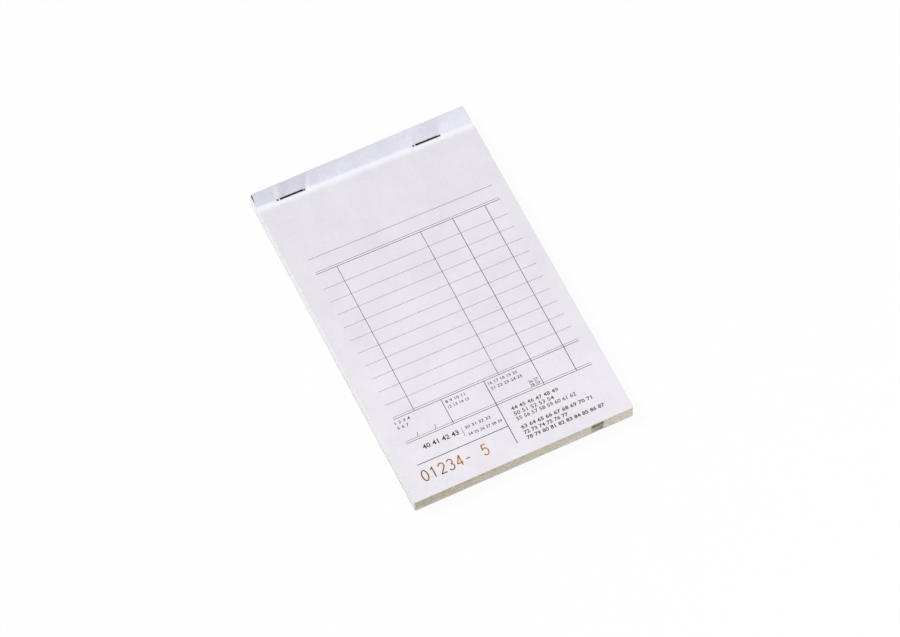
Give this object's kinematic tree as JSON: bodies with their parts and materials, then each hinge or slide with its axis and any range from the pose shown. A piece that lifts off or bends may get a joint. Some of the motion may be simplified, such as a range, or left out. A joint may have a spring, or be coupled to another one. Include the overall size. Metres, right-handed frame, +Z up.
{
  "type": "duplicate receipt book",
  "caption": "Stapled pad of printed receipt forms: tear-off originals over copy sheets on a grey back board, leaves turning at the bound edge.",
  "frame": {"origin": "middle of the back board's underside, on the face that the pad rests on", "axes": "+X along the pad's width, +Y towards the stapled edge, +Z up out of the printed face"},
  "size_m": [0.1, 0.16, 0.0076],
  "materials": {
    "original_paper": "uncoated white form paper with a faint cool tint, printed in dark grey",
    "copy_paper": "uncoated off-white copy paper with a faint buff tint, printed in dark grey",
    "staple_wire": "drawn steel stitching wire, dark satin",
    "grey_board": "solid recycled board, light grey with short fibres"
  },
  "bodies": {
    "pad": {"back_board": "grey_board", "copies_03_to_04": "copy_paper", "copies_05_to_06": "copy_paper", "copies_07_to_08": "copy_paper", "copies_09_to_10": "copy_paper", "copies_11_to_12": "copy_paper", "copies_13_to_14": "copy_paper", "copies_15_to_16": "copy_paper", "copies_17_to_18": "copy_paper", "copies_19_to_20": "copy_paper", "copies_21_to_22": "copy_paper", "copies_23_to_24": "copy_paper", "copies_25_to_26": "copy_paper", "copies_27_to_28": "copy_paper", "copies_29_to_30": "copy_paper", "copies_31_to_32": "copy_paper", "copies_33_to_34": "copy_paper", "copies_35_to_36": "copy_paper", "copies_37_to_38": "copy_paper", "copies_39_to_40": "copy_paper", "copies_41_to_42": "copy_paper", "copies_43_to_44": "copy_paper", "copies_45_to_46": "copy_paper", "copies_47_to_48": "copy_paper", "copies_49_to_50": "copy_paper", "copy_01_stub": "copy_paper", "copy_02": "copy_paper", "original_01_stub": "original_paper", "original_02": "original_paper", "originals_03_to_04": "original_paper", "originals_05_to_06": "original_paper", "originals_07_to_08": "original_paper", "originals_09_to_10": "original_paper", "originals_11_to_12": "original_paper", "originals_13_to_14": "original_paper", "originals_15_to_16": "original_paper", "originals_17_to_18": "original_paper", "originals_19_to_20": "original_paper", "originals_21_to_22": "original_paper", "originals_23_to_24": "original_paper", "originals_25_to_26": "original_paper", "originals_27_to_28": "original_paper", "originals_29_to_30": "original_paper", "originals_31_to_32": "original_paper", "originals_33_to_34": "original_paper", "originals_35_to_36": "original_paper", "originals_37_to_38": "original_paper", "originals_39_to_40": "original_paper", "originals_41_to_42": "original_paper", "originals_43_to_44": "original_paper", "originals_45_to_46": "original_paper", "originals_47_to_48": "original_paper", "originals_49_to_50": "original_paper", "staple_left": "staple_wire", "staple_right": "staple_wire"},
    "copy_leaf": {"copy_01_leaf": "copy_paper"},
    "original_strip": {"original_01_hinge_strip": "original_paper"},
    "original_leaf": {"original_01_leaf": "original_paper"}
  },
  "joints": [
    {"name": "copy_flip", "type": "hinge", "parent": "pad", "child": "copy_leaf", "pos_m": [-0.00007, 0.0685, 0.00752], "axis": [-0.9998, 0.0209, 0], "range_deg": [0, 70]},
    {"name": "original_flip", "type": "hinge", "parent": "copy_leaf", "child": "original_strip", "pos_m": [-0.00007, 0.0685, 0.00759], "axis": [-0.9998, 0.0209, 0], "range_deg": [0, 100]},
    {"name": "original_tear_off", "type": "slide", "parent": "original_strip", "child": "original_leaf", "axis": [-0.0209, -0.9998, 0], "range_m": [0, 0.15]}
  ]
}
